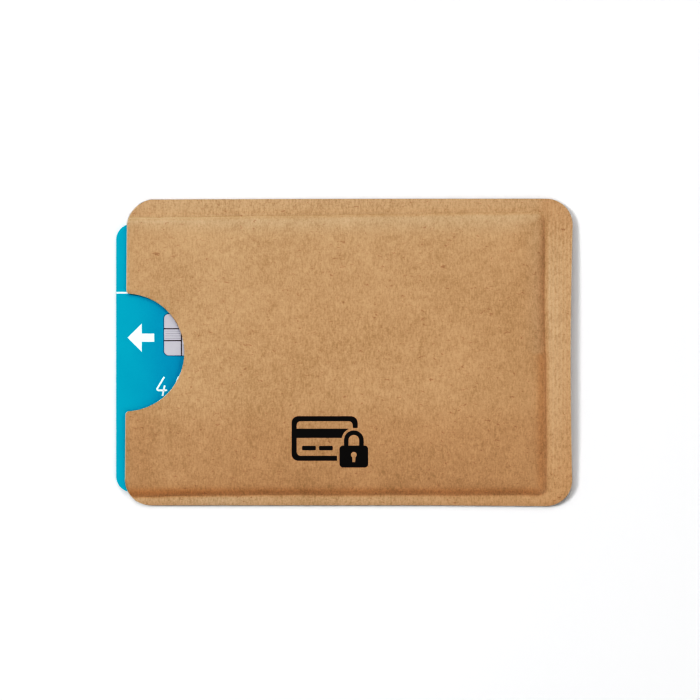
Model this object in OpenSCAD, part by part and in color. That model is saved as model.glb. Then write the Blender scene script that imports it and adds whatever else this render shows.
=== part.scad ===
// Shielding sleeve for one payment card, lying on its back with the card pushed home.
// +X runs from the open mouth to the closed end, +Y up the card, +Z out of the front panel.
// The origin is on the lowest face, under the centre of the sleeve's outline.

/* [Card] */
// Length of the card
card_l = 85.6; // [75:0.1:100]
// Height of the card
card_w = 53.98; // [48:0.01:65]
// Thickness of the card
card_t = 0.76; // [0.7:0.01:1]
// Radius of the card's corners
card_r = 3.18; // [2:0.01:5]
// Thickness of each clear overlay
overlay_t = 0.05; // [0.04:0.005:0.07]
// Thickness of each printed sheet
print_t = 0.15; // [0.13:0.005:0.18]

/* [Pocket] */
// How far the card shows past the mouth
card_reveal = 1.85; // [0:0.05:5]
// Gap between the card and the seam at the closed end
end_gap = 0.75; // [0.5:0.05:4]
// Gap between the card and the upper seam
upper_gap = 1.92; // [0.5:0.01:4]
// Gap between the card and the lower seam
lower_gap = 0.8; // [0.5:0.01:4]
// Air between the card and the lining of each panel
face_gap = 0.05; // [0.02:0.01:0.2]
// Height of the front panel's rounded shoulder above the card
shoulder_h = 0.45; // [0.2:0.01:1]
// Height of the dome above the shoulder
dome_h = 0.9; // [0.1:0.01:1.5]
// Distance over which the dome rises from the card's edge
dome_run = 24; // [8:0.5:24]
// Distance over which the shoulder and the dome grow from the mouth inwards
mouth_run = 32; // [15:1:50]

/* [Sealed edges] */
// Width of the flange at the closed end
end_flange = 5.5; // [3:0.1:10]
// Width of the upper flange
upper_flange = 3.2; // [1.5:0.1:8]
// Width of the lower flange
lower_flange = 2.1; // [1.5:0.1:8]
// Radius of the die-cut corners
corner_r = 5.5; // [2:0.1:10]
// Radius of the seam's inner corners
seam_r = 1.6; // [0.4:0.1:2]
// Thickness of the glue between the flanges
seal_t = 0.04; // [0.02:0.01:0.1]

/* [Sheets] */
// Thickness of the kraft paper
paper_t = 0.2; // [0.1:0.01:0.35]
// Thickness of the shielding foil
foil_t = 0.02; // [0.01:0.005:0.05]
// Thickness of the lining film
film_t = 0.03; // [0.01:0.005:0.05]

/* [Thumb notch] */
// Radius of the notch
notch_r = 11.8; // [6:0.05:16]
// Radius that eases the notch into the mouth
notch_ease_r = 0.8; // [0.3:0.1:3]

/* [Contact plate] */
// Distance from the card's mouth-side end to the plate
plate_x = 9.6; // [8:0.1:14]
// Distance from the card's upper edge to the plate
plate_y = 18.1; // [16:0.1:20]
// Length of the plate
plate_l = 11; // [10:0.1:13]
// Height of the plate
plate_w = 8.4; // [8:0.1:11]
// Radius of the plate's corners
plate_r = 1; // [0.6:0.1:2]
// Length of each side contact
contact_l = 3.5; // [3:0.05:3.8]
// Height of each middle contact
contact_w = 2.4; // [1.8:0.05:2.6]
// Width of the lines between contacts
contact_line = 0.2; // [0.1:0.05:0.3]
// Thickness of the contacts
contact_t = 0.035; // [0.02:0.005:0.05]
// Thickness of the tape under the contacts
tape_t = 0.11; // [0.08:0.005:0.11]
// Gap round the plate in its seat
plate_gap = 0.05; // [0.02:0.01:0.15]

/* [Chip] */
// Length and height of the die
die_l = 3; // [2:0.1:3.4]
// Height of the die
die_w = 2.4; // [2:0.1:3]
// Thickness of the die
die_t = 0.15; // [0.08:0.01:0.2]
// Length of the resin drop over the die
drop_l = 5.4; // [4.5:0.1:5.6]
// Height of the resin drop
drop_w = 4.6; // [4:0.1:5]
// Thickness of the resin drop
drop_t = 0.33; // [0.26:0.01:0.35]
// Radius of the resin drop's corners
drop_r = 1; // [0.5:0.1:1.5]
// Gap round the resin drop in its hollow
drop_gap = 0.4; // [0.2:0.05:0.5]
// Gap under the resin drop
drop_floor_gap = 0.02; // [0.01:0.005:0.03]

/* [Antenna] */
// Turns of the coil
coil_turns = 4; // [2:1:6]
// Distance from the card's edge to the outer turn
coil_inset = 2.6; // [2:0.1:4]
// Distance from one turn to the next
coil_pitch = 0.6; // [0.4:0.05:0.8]
// Width of the copper track
track_w = 0.25; // [0.15:0.01:0.3]
// Thickness of the copper track
track_t = 0.06; // [0.03:0.01:0.08]
// Depth of the track below the middle of the card
track_cover = 0.02; // [0.01:0.005:0.04]
// Bend radius of the turns
coil_bend_r = 2; // [1:0.1:4]
// Diameter of the pads at the coil's ends
pad_d = 0.9; // [0.5:0.1:1]
// Thickness of the strap over the turns
strap_t = 0.05; // [0.03:0.005:0.08]
// Diameter of the conductive posts
post_d = 0.8; // [0.4:0.1:0.9]
// Height of each post above or below the plate's middle
post_rise = 2.6; // [2:0.1:3]
// Distance from the plate's edge to the posts
post_inset = 1; // [0.8:0.05:1.1]

/* [Back of the card] */
// Distance from the card's upper edge to the magnetic stripe
stripe_y = 4.2; // [3.5:0.1:6]
// Width of the magnetic stripe
stripe_w = 12.7; // [10:0.1:13]
// Thickness of the magnetic stripe
stripe_t = 0.02; // [0.01:0.005:0.03]
// Distance from the magnetic stripe to the signature strip
strip_gap = 3; // [2:0.1:6]
// Distance from the card's end to the signature strip
strip_inset = 5; // [4:0.1:10]
// Length of the signature strip
strip_l = 62; // [40:0.5:64]
// Width of the signature strip
strip_w = 8; // [6:0.1:10]
// Thickness of the signature strip
strip_t = 0.02; // [0.01:0.005:0.03]

/* [Hidden] */
$fn = 48;

// How far cuts run past what they cut
overrun = 1;
// Gap between the card's edge and the line where the panels reach full height
crown_gap = 0.1;
// Facets round the notch and its eased ends, and round a corner of the panels and of the coil
notch_steps = 48;
ease_steps = 6;
corner_steps = 10;
bend_steps = 4;
// Steps from the seam to the card's edge, under the front panel and over the back one
front_wall_steps = 4;
back_wall_steps = 8;
// Where the dome's rings lie, from the card's edge to its ridge, and how fast it levels off
dome_ring_shares = [0.015, 0.035, 0.06, 0.1, 0.17, 0.28, 0.44, 0.66, 1];
dome_power = 3;
// How much of the shoulder and of the dome is left at the mouth
mouth_shoulder_share = 0.45;
mouth_dome_share = 0.15;
// Where the points lie along each long side of a ring, from the mouth inwards
run_shares = [0, 0.08, 0.16, 0.25, 0.35, 0.5];

sleeve_l = card_l - card_reveal + end_gap + end_flange;
sleeve_w = card_w + upper_gap + lower_gap + upper_flange + lower_flange;
mouth_x = -sleeve_l / 2;
seam_x = sleeve_l / 2 - end_flange;
seam_top = sleeve_w / 2 - upper_flange;
seam_bottom = -sleeve_w / 2 + lower_flange;

wall_t = paper_t + foil_t + film_t;
middle_z = wall_t + face_gap + card_t / 2;
wall_rise = card_t / 2 + face_gap - seal_t / 2;
narrow_gap = min(end_gap, upper_gap, lower_gap);
sleeve_t = middle_z + card_t / 2 + face_gap + shoulder_h + dome_h + wall_t;

card_left = mouth_x - card_reveal;
card_right = card_left + card_l;
card_bottom = seam_bottom + lower_gap;
card_top = card_bottom + card_w;
card_x = (card_left + card_right) / 2;
card_y = (card_bottom + card_top) / 2;

core_t = card_t / 2 - overlay_t - print_t;
upper_face_z = middle_z + card_t / 2;
lower_face_z = middle_z - card_t / 2;
adhesive_t = overlay_t + print_t - contact_t - tape_t;
tape_z = upper_face_z - contact_t - tape_t;
hollow_depth = drop_t + drop_floor_gap - adhesive_t - core_t;

plate_cx = card_left + plate_x + plate_l / 2;
plate_cy = card_top - plate_y - plate_w / 2;
post_x = plate_cx - plate_l / 2 + post_inset;
groove_depth = track_t + track_cover;

// Shared shapes

module rounded_rect(l, w, r) {
    square([l - 2 * r, w], center = true);
    square([l, w - 2 * r], center = true);
    for (x = [-1, 1], y = [-1, 1])
        translate([x * (l / 2 - r), y * (w / 2 - r)]) circle(r);
}

function mix(from, to, share) = from + (to - from) * share;

function arc(x, y, r, from, to, steps) = [
    for (i = [0 : steps]) let (a = mix(from, to, i / steps)) [x + r * cos(a), y + r * sin(a)]
];

// The notch is a half circle on the mouth, and a small arc eases each of its ends
module notch_outline() {
    ease_y = sqrt(pow(notch_r + notch_ease_r, 2) - pow(notch_ease_r, 2));
    touch = asin(notch_ease_r / (notch_r + notch_ease_r));
    step = (90 - touch) * 2 / notch_steps;
    translate([mouth_x, 0]) polygon(concat(
        [[-overrun, -ease_y]],
        arc(notch_ease_r, -ease_y, notch_ease_r, 180, 90 + touch, ease_steps),
        arc(0, 0, notch_r, touch - 90 + step, 90 - touch - step, notch_steps - 2),
        arc(notch_ease_r, ease_y, notch_ease_r, 270 - touch, 180, ease_steps),
        [[-overrun, ease_y]]
    ));
}

module die_cut_outline() {
    difference() {
        rounded_rect(sleeve_l, sleeve_w, corner_r);
        notch_outline();
    }
}

// A ring is open at the mouth, and runs round the closed end from below to above
function panel_ring(right, top, bottom, r, runs) = let (n = len(runs), open_x = mouth_x - overrun) concat(
    [for (i = [0 : n - 1]) [mix(open_x, right - r, runs[i]), bottom]],
    arc(right - r, bottom + r, r, -90, 0, corner_steps),
    arc(right - r, top - r, r, 0, 90, corner_steps),
    [for (i = [n - 1 : -1 : 0]) [mix(open_x, right - r, runs[i]), top]]
);

// How far a point lies inside the seam
function seam_distance(x, y) = let (
    over_x = x - seam_x + seam_r,
    over_y = abs(y - (seam_top + seam_bottom) / 2) - (seam_top - seam_bottom) / 2 + seam_r
) seam_r - norm([max(over_x, 0), max(over_y, 0)]) - min(max(over_x, over_y), 0);

// The shoulder and the dome are low at the mouth, and full where they have grown
function growth_share(x, mouth_share) =
    let (u = min(max((x - mouth_x) / mouth_run, 0), 1)) mix(mouth_share, 1, (1 - cos(180 * u)) / 2);

// The shoulder is steep at the seam, and clears the card's edge at the narrowest gap
function shoulder_rise(x, y) = let (
    h = shoulder_h * growth_share(x, mouth_shoulder_share),
    run = narrow_gap / ln(1 + wall_rise / h)
) (wall_rise + h) * (1 - exp(-max(seam_distance(x, y), 0) / run));

function dome_share(s) = 1 - pow(1 - s, dome_power);
function back_rise(s) = wall_rise * (1 - cos(180 * s)) / 2;

function outer_ring(runs) = panel_ring(
    sleeve_l / 2 + overrun, sleeve_w / 2 + overrun, -sleeve_w / 2 - overrun, seam_r, runs
);

function wall_ring(s, runs) = panel_ring(
    mix(seam_x, card_right + crown_gap, s),
    mix(seam_top, card_top + crown_gap, s),
    mix(seam_bottom, card_bottom - crown_gap, s),
    mix(seam_r, card_r + crown_gap, s),
    runs
);

function dome_ring(s, runs) = panel_ring(
    card_right + crown_gap - dome_run * s,
    card_top + crown_gap - dome_run * s,
    card_bottom - crown_gap + dome_run * s,
    mix(card_r + crown_gap, card_w / 2 + crown_gap - dome_run * s, s),
    runs
);

function front_rings() = let (runs = run_shares) concat(
    [[for (p = outer_ring(runs)) [p[0], p[1], 0]]],
    [
        for (i = [0 : front_wall_steps])
            [for (p = wall_ring(i / front_wall_steps, runs)) [p[0], p[1], shoulder_rise(p[0], p[1])]]
    ],
    [
        for (s = dome_ring_shares) [
            for (p = dome_ring(s, runs)) [
                p[0], p[1],
                shoulder_rise(p[0], p[1]) + dome_h * dome_share(s) * growth_share(p[0], mouth_dome_share)
            ]
        ]
    ]
);

function back_rings() = let (runs = [0]) concat(
    [[for (p = outer_ring(runs)) [p[0], p[1], 0]]],
    [
        for (i = [0 : back_wall_steps]) let (s = i / back_wall_steps)
            [for (p = wall_ring(s, runs)) [p[0], p[1], back_rise(s)]]
    ]
);

// One sheet of a panel: its faces are the same pressed form, set apart by its thickness
module pressed_sheet(side, below, t) {
    rings = side > 0 ? front_rings() : back_rings();
    n = len(rings[0]);
    count = len(rings);
    points = [
        for (level = [0, 1], ring = rings, p = ring) let (
            h = seal_t / 2 + below + p[2],
            z = side > 0 ? h : -h - t
        ) [p[0], p[1], middle_z + z + level * t]
    ];
    low = function (i, j) i * n + j;
    high = function (i, j) (count + i) * n + j;
    intersection() {
        polyhedron(points, concat(
            [for (i = [0 : count - 2], j = [0 : n - 2]) [high(i, j), high(i + 1, j), high(i + 1, j + 1)]],
            [for (i = [0 : count - 2], j = [0 : n - 2]) [high(i, j), high(i + 1, j + 1), high(i, j + 1)]],
            [for (i = [0 : count - 2], j = [0 : n - 2]) [low(i, j), low(i + 1, j + 1), low(i + 1, j)]],
            [for (i = [0 : count - 2], j = [0 : n - 2]) [low(i, j), low(i, j + 1), low(i + 1, j + 1)]],
            [for (j = [0 : n / 2 - 2]) [for (k = [n - 1 - j, n - 2 - j, j + 1, j]) high(count - 1, k)]],
            [for (j = [0 : n / 2 - 2]) [for (k = [j, j + 1, n - 2 - j, n - 1 - j]) low(count - 1, k)]],
            [for (j = [0 : n - 2]) [low(0, j), high(0, j), high(0, j + 1), low(0, j + 1)]],
            [for (i = [0 : count - 2]) [low(i + 1, 0), high(i + 1, 0), high(i, 0), low(i, 0)]],
            [
                for (i = [0 : count - 2])
                    [low(i, n - 1), high(i, n - 1), high(i + 1, n - 1), low(i + 1, n - 1)]
            ],
            [[low(count - 1, n - 1), high(count - 1, n - 1), high(count - 1, 0), low(count - 1, 0)]]
        ));
        translate([0, 0, -overrun])
            linear_extrude(sleeve_t + 2 * overrun) die_cut_outline();
    }
}

module front_sheet(below, t) {
    pressed_sheet(1, below, t);
}

module back_sheet(below, t) {
    pressed_sheet(-1, below, t);
}

// Sleeve

module front_paper() {
    color("#c39868") front_sheet(film_t + foil_t, paper_t);
}

module front_foil() {
    color("#c9ccd0") front_sheet(film_t, foil_t);
}

module front_lining() {
    color("#e4e7ea") front_sheet(0, film_t);
}

module back_paper() {
    color("#c39868") back_sheet(film_t + foil_t, paper_t);
}

module back_foil() {
    color("#c9ccd0") back_sheet(film_t, foil_t);
}

module back_lining() {
    color("#e4e7ea") back_sheet(0, film_t);
}

// The glue fills the flanges on three sides, as far as the seam
module edge_seal() {
    color("#efe9dc") translate([0, 0, middle_z - seal_t / 2]) linear_extrude(seal_t) difference() {
        rounded_rect(sleeve_l, sleeve_w, corner_r);
        translate([mouth_x - overrun, seam_bottom + seam_r])
            square([seam_x - mouth_x + overrun, seam_top - seam_bottom - 2 * seam_r]);
        translate([mouth_x - overrun, seam_bottom])
            square([seam_x - seam_r - mouth_x + overrun, seam_top - seam_bottom]);
        for (y = [seam_bottom + seam_r, seam_top - seam_r])
            translate([seam_x - seam_r, y]) circle(seam_r);
    }
}

// Card

module card_layer(z, t) {
    translate([card_x, card_y, z]) linear_extrude(t) rounded_rect(card_l, card_w, card_r);
}

module plate_outline(gap) {
    translate([plate_cx, plate_cy]) rounded_rect(plate_l + 2 * gap, plate_w + 2 * gap, plate_r + gap);
}

module drop_outline(gap) {
    translate([plate_cx, plate_cy]) rounded_rect(drop_l + 2 * gap, drop_w + 2 * gap, drop_r + gap);
}

module plate_window() {
    translate([0, 0, upper_face_z - overlay_t - print_t - overrun])
        linear_extrude(overlay_t + print_t + 2 * overrun) plate_outline(plate_gap);
}

module resin_hollow() {
    translate([0, 0, middle_z - hollow_depth]) linear_extrude(card_t) drop_outline(drop_gap);
}

module post_holes() {
    for (side = [-1, 1])
        translate([post_x, plate_cy + side * post_rise, middle_z - overrun])
            cylinder(h = core_t + 2 * overrun, d = post_d);
}

module card_front_overlay() {
    color("#5cc6d8", 0.6) difference() {
        card_layer(upper_face_z - overlay_t, overlay_t);
        plate_window();
    }
}

module card_front_print() {
    color("#05aac5") difference() {
        card_layer(upper_face_z - overlay_t - print_t, print_t);
        plate_window();
    }
}

module card_upper_core() {
    color("#eef1f2") difference() {
        card_layer(middle_z, core_t);
        resin_hollow();
        post_holes();
        antenna_strap_shape();
    }
}

module card_lower_core() {
    color("#e7eaeb") difference() {
        card_layer(middle_z - core_t, core_t);
        resin_hollow();
        translate([0, 0, middle_z - groove_depth]) linear_extrude(groove_depth + overrun) {
            coil_outline();
            coil_pads();
        }
    }
}

module card_back_print() {
    color("#0b93b1") card_layer(lower_face_z + overlay_t, print_t);
}

module card_back_overlay() {
    color("#5cc6d8", 0.6) difference() {
        card_layer(lower_face_z, overlay_t);
        translate([0, 0, lower_face_z - overrun]) linear_extrude(stripe_t + overrun) stripe_outline(overrun);
        translate([0, 0, lower_face_z - overrun]) linear_extrude(strip_t + overrun) strip_outline();
    }
}

// The stripe runs the whole length of the card
module stripe_outline(past) {
    translate([card_left - past, card_top - stripe_y - stripe_w]) square([card_l + 2 * past, stripe_w]);
}

module strip_outline() {
    translate([card_left + strip_inset, card_top - stripe_y - stripe_w - strip_gap - strip_w])
        square([strip_l, strip_w]);
}

module magnetic_stripe() {
    color("#1f1c1b") translate([0, 0, lower_face_z]) linear_extrude(stripe_t) stripe_outline(0);
}

module signature_strip() {
    color("#f4f3ee") translate([0, 0, lower_face_z]) linear_extrude(strip_t) strip_outline();
}

// Three contacts on each side of a long middle pad, all cut from one plate
module contact_plate() {
    color("#c8c8cd") translate([0, 0, upper_face_z - contact_t]) linear_extrude(contact_t) difference() {
        plate_outline(0);
        for (side = [-1, 1]) translate([plate_cx + side * (plate_l / 2 - contact_l), plate_cy]) {
            square([contact_line, plate_w + 2 * overrun], center = true);
            for (row = [-1, 1])
                translate([side * contact_l / 2, row * contact_w / 2])
                    square([contact_l, contact_line], center = true);
        }
    }
}

module chip_tape() {
    color("#5b4a2c") translate([0, 0, tape_z]) linear_extrude(tape_t) plate_outline(0);
}

module chip_adhesive() {
    color("#d8c489") difference() {
        translate([0, 0, tape_z - adhesive_t]) linear_extrude(adhesive_t) difference() {
            plate_outline(0);
            drop_outline(drop_gap);
        }
        post_holes();
    }
}

module die_block(past) {
    translate([plate_cx, plate_cy, tape_z + past / 2 - die_t / 2])
        cube([die_l, die_w, die_t + past], center = true);
}

module chip_die() {
    color("#4a4f58") die_block(0);
}

module chip_resin() {
    color("#2b2a28") difference() {
        translate([0, 0, tape_z - drop_t]) linear_extrude(drop_t) drop_outline(0);
        die_block(overrun);
    }
}

// Antenna

function coil_arc(x, y, r, start) = [
    for (i = [0 : bend_steps])
        let (a = start - 90 * i / bend_steps) [x + r * cos(a), y + r * sin(a)]
];

function coil_left(turn) = card_left + coil_inset + coil_pitch * turn;
function coil_right(turn) = card_right - coil_inset - coil_pitch * turn;
function coil_top(turn) = card_top - coil_inset - coil_pitch * turn;
function coil_bottom(turn) = card_bottom + coil_inset + coil_pitch * turn;

// One edge of the track, from the outer end to the inner one: side is 1 outside and -1 inside
function coil_edge(side) = let (r = coil_bend_r + side * track_w / 2, b = coil_bend_r) concat(
    [[coil_left(0) - side * track_w / 2, plate_cy + post_rise]],
    [
        for (turn = [0 : coil_turns - 1]) each concat(
            coil_arc(coil_left(turn) + b, coil_top(turn) - b, r, 180),
            coil_arc(coil_right(turn) - b, coil_top(turn) - b, r, 90),
            coil_arc(coil_right(turn) - b, coil_bottom(turn) + b, r, 0),
            coil_arc(coil_left(turn + 1) + b, coil_bottom(turn) + b, r, -90)
        )
    ],
    coil_arc(coil_left(coil_turns) + b, plate_cy - post_rise - b, r, 180),
    [[post_x, plate_cy - post_rise + side * track_w / 2]]
);

module coil_outline() {
    inner = coil_edge(-1);
    polygon(concat(coil_edge(1), [for (i = [len(inner) - 1 : -1 : 0]) inner[i]]));
}

module coil_pads() {
    translate([coil_left(0), plate_cy + post_rise]) circle(d = pad_d);
    translate([post_x, plate_cy - post_rise]) circle(d = pad_d);
}

// The turns lie a little below the strap that crosses them, and only the pads reach up to it
module antenna_coil() {
    color("#b87333") translate([0, 0, middle_z - groove_depth]) {
        linear_extrude(track_t) coil_outline();
        linear_extrude(groove_depth) coil_pads();
    }
}

module antenna_strap_shape() {
    translate([0, 0, middle_z]) linear_extrude(strap_t) {
        translate([coil_left(0), plate_cy + post_rise - pad_d / 2])
            square([post_x - coil_left(0), pad_d]);
        for (x = [coil_left(0), post_x])
            translate([x, plate_cy + post_rise]) circle(d = pad_d);
    }
}

module antenna_strap() {
    color("#c7843f") antenna_strap_shape();
}

module antenna_posts() {
    color("#8f9296") for (side = [-1, 1]) {
        foot_z = middle_z + (side > 0 ? strap_t : 0);
        translate([post_x, plate_cy + side * post_rise, foot_z])
            cylinder(h = tape_z - foot_z, d = post_d);
    }
}

front_paper();
front_foil();
front_lining();
back_paper();
back_foil();
back_lining();
edge_seal();
card_front_overlay();
card_front_print();
card_upper_core();
card_lower_core();
card_back_print();
card_back_overlay();
magnetic_stripe();
signature_strip();
contact_plate();
chip_tape();
chip_adhesive();
chip_die();
chip_resin();
antenna_coil();
antenna_strap();
antenna_posts();
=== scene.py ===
import math

import bmesh
import bpy
import numpy as np
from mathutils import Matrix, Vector


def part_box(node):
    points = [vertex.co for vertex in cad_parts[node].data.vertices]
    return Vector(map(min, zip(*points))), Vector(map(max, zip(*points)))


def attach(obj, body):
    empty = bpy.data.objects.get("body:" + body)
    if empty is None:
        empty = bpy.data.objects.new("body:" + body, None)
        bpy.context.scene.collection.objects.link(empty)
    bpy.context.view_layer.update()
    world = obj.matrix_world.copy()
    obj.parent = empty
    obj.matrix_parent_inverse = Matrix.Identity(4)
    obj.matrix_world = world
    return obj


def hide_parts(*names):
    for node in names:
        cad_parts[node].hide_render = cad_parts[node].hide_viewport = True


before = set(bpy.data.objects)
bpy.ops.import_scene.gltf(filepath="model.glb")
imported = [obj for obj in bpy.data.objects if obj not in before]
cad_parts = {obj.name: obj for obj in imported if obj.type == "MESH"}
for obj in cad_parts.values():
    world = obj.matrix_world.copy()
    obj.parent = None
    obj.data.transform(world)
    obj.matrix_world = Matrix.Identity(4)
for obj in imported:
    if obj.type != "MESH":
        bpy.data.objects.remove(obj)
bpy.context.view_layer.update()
mm = 0.001
print("frame loaded")


def boxInMm(node):
    low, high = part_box(node)
    return np.array(low) / mm, np.array(high) / mm


paperLow, paperHigh = boxInMm("front_paper")
sealLow, sealHigh = boxInMm("edge_seal")
cardLow, cardHigh = boxInMm("card_front_overlay")
plateLow, plateHigh = boxInMm("contact_plate")
cardFoot = boxInMm("card_back_overlay")[0][2]
middleZ = (sealLow[2] + sealHigh[2]) / 2  # the flanges meet here


# Nodes, for shaders and for geometry alike


class Wire:  # a socket that can stand in a sum
    def __init__(self, graph, socket):
        self.graph = graph
        self.socket = socket

    def math(self, operation, *others):
        values = dict(enumerate([self, *others]))
        return self.graph.node("ShaderNodeMath", {"operation": operation}, values)

    def flipped(self, operation, other):
        return self.graph.node("ShaderNodeMath", {"operation": operation}, {0: other, 1: self})

    def __add__(self, other):
        return self.math("ADD", other)

    def __radd__(self, other):
        return self.flipped("ADD", other)

    def __sub__(self, other):
        return self.math("SUBTRACT", other)

    def __rsub__(self, other):
        return self.flipped("SUBTRACT", other)

    def __mul__(self, other):
        return self.math("MULTIPLY", other)

    def __rmul__(self, other):
        return self.flipped("MULTIPLY", other)

    def __truediv__(self, other):
        return self.math("DIVIDE", other)

    def __rtruediv__(self, other):
        return self.flipped("DIVIDE", other)

    def beside(self, name):  # another output of the same node
        return Wire(self.graph, self.socket.node.outputs[name])


class Graph:  # makes and links the nodes of one tree
    def __init__(self, tree, owner=None):
        self.tree = tree
        self.owner = owner

    def node(self, kind, settings=None, values=None, out=0):
        made = self.tree.nodes.new(kind)
        for name, value in (settings or {}).items():
            if name == "stops":
                self.setStops(made.color_ramp, value)
            else:
                setattr(made, name, value)
        for key, value in (values or {}).items():
            if isinstance(value, Wire):
                self.tree.links.new(value.socket, made.inputs[key])
            else:
                made.inputs[key].default_value = value
        return Wire(self, made.outputs[out])

    def setStops(self, ramp, stops):
        while len(ramp.elements) < len(stops):
            ramp.elements.new(1.0)
        for element, (position, colour) in zip(ramp.elements, stops):
            element.position = position
            element.color = colour


def srgb(r, g, b):
    parts = [v / 255 for v in (r, g, b)]
    return [v / 12.92 if v <= 0.04045 else ((v + 0.055) / 1.055) ** 2.4 for v in parts] + [1.0]


# Materials


def startMaterial(name):
    material = bpy.data.materials.new(name)
    material.use_nodes = True
    material.node_tree.nodes.clear()
    return Graph(material.node_tree, material)


def endMaterial(graph, values):
    shader = graph.node("ShaderNodeBsdfPrincipled", {}, values)
    output = graph.tree.nodes.new("ShaderNodeOutputMaterial")
    graph.tree.links.new(shader.socket, output.inputs["Surface"])
    return graph.owner


def noise(graph, size, detail=2.0, rough=0.5, stretch=(1, 1, 1), turn=0.0, bend=0.0):
    coords = graph.node("ShaderNodeTexCoord", out="Object")
    scale = [1 / (size * mm * s) for s in stretch]
    values = {"Vector": coords, "Rotation": (0, 0, math.radians(turn)), "Scale": scale}
    turned = graph.node("ShaderNodeMapping", {}, values)
    values = {"Vector": turned, "Scale": 1.0, "Detail": detail, "Roughness": rough, "Distortion": bend}
    return graph.node("ShaderNodeTexNoise", {}, values, out="Fac")


def alongX(graph):  # the place along the sleeve, in metres
    coords = graph.node("ShaderNodeTexCoord", out="Object")
    return graph.node("ShaderNodeSeparateXYZ", {}, {"Vector": coords}, out="X")


def mixColour(graph, factor, first, second, blend="MIX"):
    settings = {"data_type": "RGBA", "blend_type": blend}
    return graph.node("ShaderNodeMix", settings, {0: factor, 6: first, 7: second}, out=2)


def ramp(graph, value, low, high):
    values = {"Value": value, "From Min": low, "From Max": high}
    return graph.node("ShaderNodeMapRange", {"interpolation_type": "SMOOTHSTEP"}, values)


def bump(graph, height, distance):
    values = {"Height": height, "Distance": distance * mm, "Strength": 1.0}
    return graph.node("ShaderNodeBump", {}, values, out="Normal")


# Uncoated kraft, with pulp clouds, crossed fibres, dark flecks and the press's fine ribs
kraft = dict(
    pale=srgb(203, 167, 136),
    mid=srgb(189, 157, 127),
    deep=srgb(171, 144, 113),
    fleck=srgb(134, 100, 72),
    # the cut edge's paler fibre, drawn paler still as a painted highlight on the rim
    edge=srgb(226, 206, 180),
    paintedShade=(0.905, 0.885, 0.865, 1.0),  # painted shade, times the paper's colour
    # painted warm shade in the lower crease, times the paper's colour
    paintedWarmShade=(0.87, 0.7, 0.5, 1.0),
    # painted light, times the paper's colour
    paintedLightTint=(1.03, 1.12, 1.23, 1.0),
    grain=0.32,
    grainShares=(1.4, 0.45),  # a pair of shares is in the tone and in the height
    cloud=2.6,
    cloudShares=(0.65, 0.5),
    blotch=14.0,
    blotchShare=0.5,
    along=dict(size=0.26, stretch=(5, 1, 1), turn=8, bend=0.6),
    alongShares=(0.4, 0.3),
    across=dict(size=0.28, stretch=(1, 3.5, 1), turn=-3, bend=0.4),
    acrossShares=(1.8, 0.35),
    aslant=dict(size=0.18, stretch=(8, 1, 1), turn=52, bend=0.8),
    aslantShare=0.3,
    contrast=(0.68, 0.3),  # of the panel, and more on the flanges
    flangePale=0.11,
    # painted shade in the upper seam's groove
    grooveShade=0.3,
    flecks=dict(size=0.4, detail=1.0, stretch=(2.4, 1, 1), turn=35, bend=1.0),
    fleckFrom=(0.68, 0.75),
    fleckShare=0.45,
    cutFrom=(0.85, 0.5),  # how level a face is where the cut's colour starts, and where it is full
    cutShare=0.8,
    ribPitch=0.775,
    ribTone=0.02,
    ribHeight=0.006,
    fibreHeight=0.02,
    roughness=0.52,
    specular=0.5,
)


def kraftMaterial():
    g = startMaterial("kraftPaper")
    grain = noise(g, kraft["grain"], rough=0.6)
    cloud = noise(g, kraft["cloud"], detail=5.0, rough=0.62)
    blotch = noise(g, kraft["blotch"])
    along, across, aslant = [noise(g, rough=0.6, **kraft[name]) for name in ("along", "across", "aslant")]
    labels = ("flange", "groove", "shade", "worn", "bend")
    settings = [{"attribute_name": label} for label in labels]
    painted = [g.node("ShaderNodeAttribute", setting, out="Fac") for setting in settings]
    flange, groove, paintedShade, worn, bend = painted
    rib = (alongX(g) * (2 * math.pi / (kraft["ribPitch"] * mm))).math("SINE") * flange

    fine = (grain - 0.5) * kraft["grainShares"][0] + (along - 0.5) * kraft["alongShares"][0]
    fine = fine + (across - 0.5) * kraft["acrossShares"][0] + (aslant - 0.5) * kraft["aslantShare"]
    broad = (cloud - 0.5) * kraft["cloudShares"][0] + (blotch - 0.5) * kraft["blotchShare"]
    plain, more = kraft["contrast"]
    tone = fine * (plain + flange * more) + broad + rib * kraft["ribTone"]
    tone = tone + 0.5 + flange * kraft["flangePale"] - groove * groove * kraft["grooveShade"]
    stops = [(0.12, kraft["deep"]), (0.5, kraft["mid"]), (0.88, kraft["pale"])]
    colour = g.node("ShaderNodeValToRGB", {"stops": stops}, {"Fac": tone}, out="Color")
    fleck = ramp(g, noise(g, **kraft["flecks"]), *kraft["fleckFrom"])
    colour = mixColour(g, fleck * kraft["fleckShare"], colour, kraft["fleck"])
    # painted shade, painted light, and painted warm shade in the lower crease, each times the paper's
    # colour
    for share, tint in ((paintedShade, "paintedShade"), (worn, "paintedLightTint"), (bend, "paintedWarmShade")):
        colour = mixColour(g, share, colour, kraft[tint], "MULTIPLY")
    normal = g.node("ShaderNodeNewGeometry", out="Normal")
    level = g.node("ShaderNodeSeparateXYZ", {}, {"Vector": normal}, out="Z").math("ABSOLUTE")
    cut = ramp(g, level, *kraft["cutFrom"])
    colour = mixColour(g, cut * kraft["cutShare"], colour, kraft["edge"])

    height = grain * kraft["grainShares"][1] + along * kraft["alongShares"][1]
    height = height + across * kraft["acrossShares"][1] + cloud * kraft["cloudShares"][1]
    height = height + rib * (kraft["ribHeight"] / kraft["fibreHeight"])
    values = {
        "Base Color": colour,
        "Roughness": kraft["roughness"] + (grain - 0.5) * 0.25 + cut * 0.3 - flange * 0.04,
        "Specular IOR Level": kraft["specular"],
        "Normal": bump(g, height, kraft["fibreHeight"]),
    }
    return endMaterial(g, values)
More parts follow.
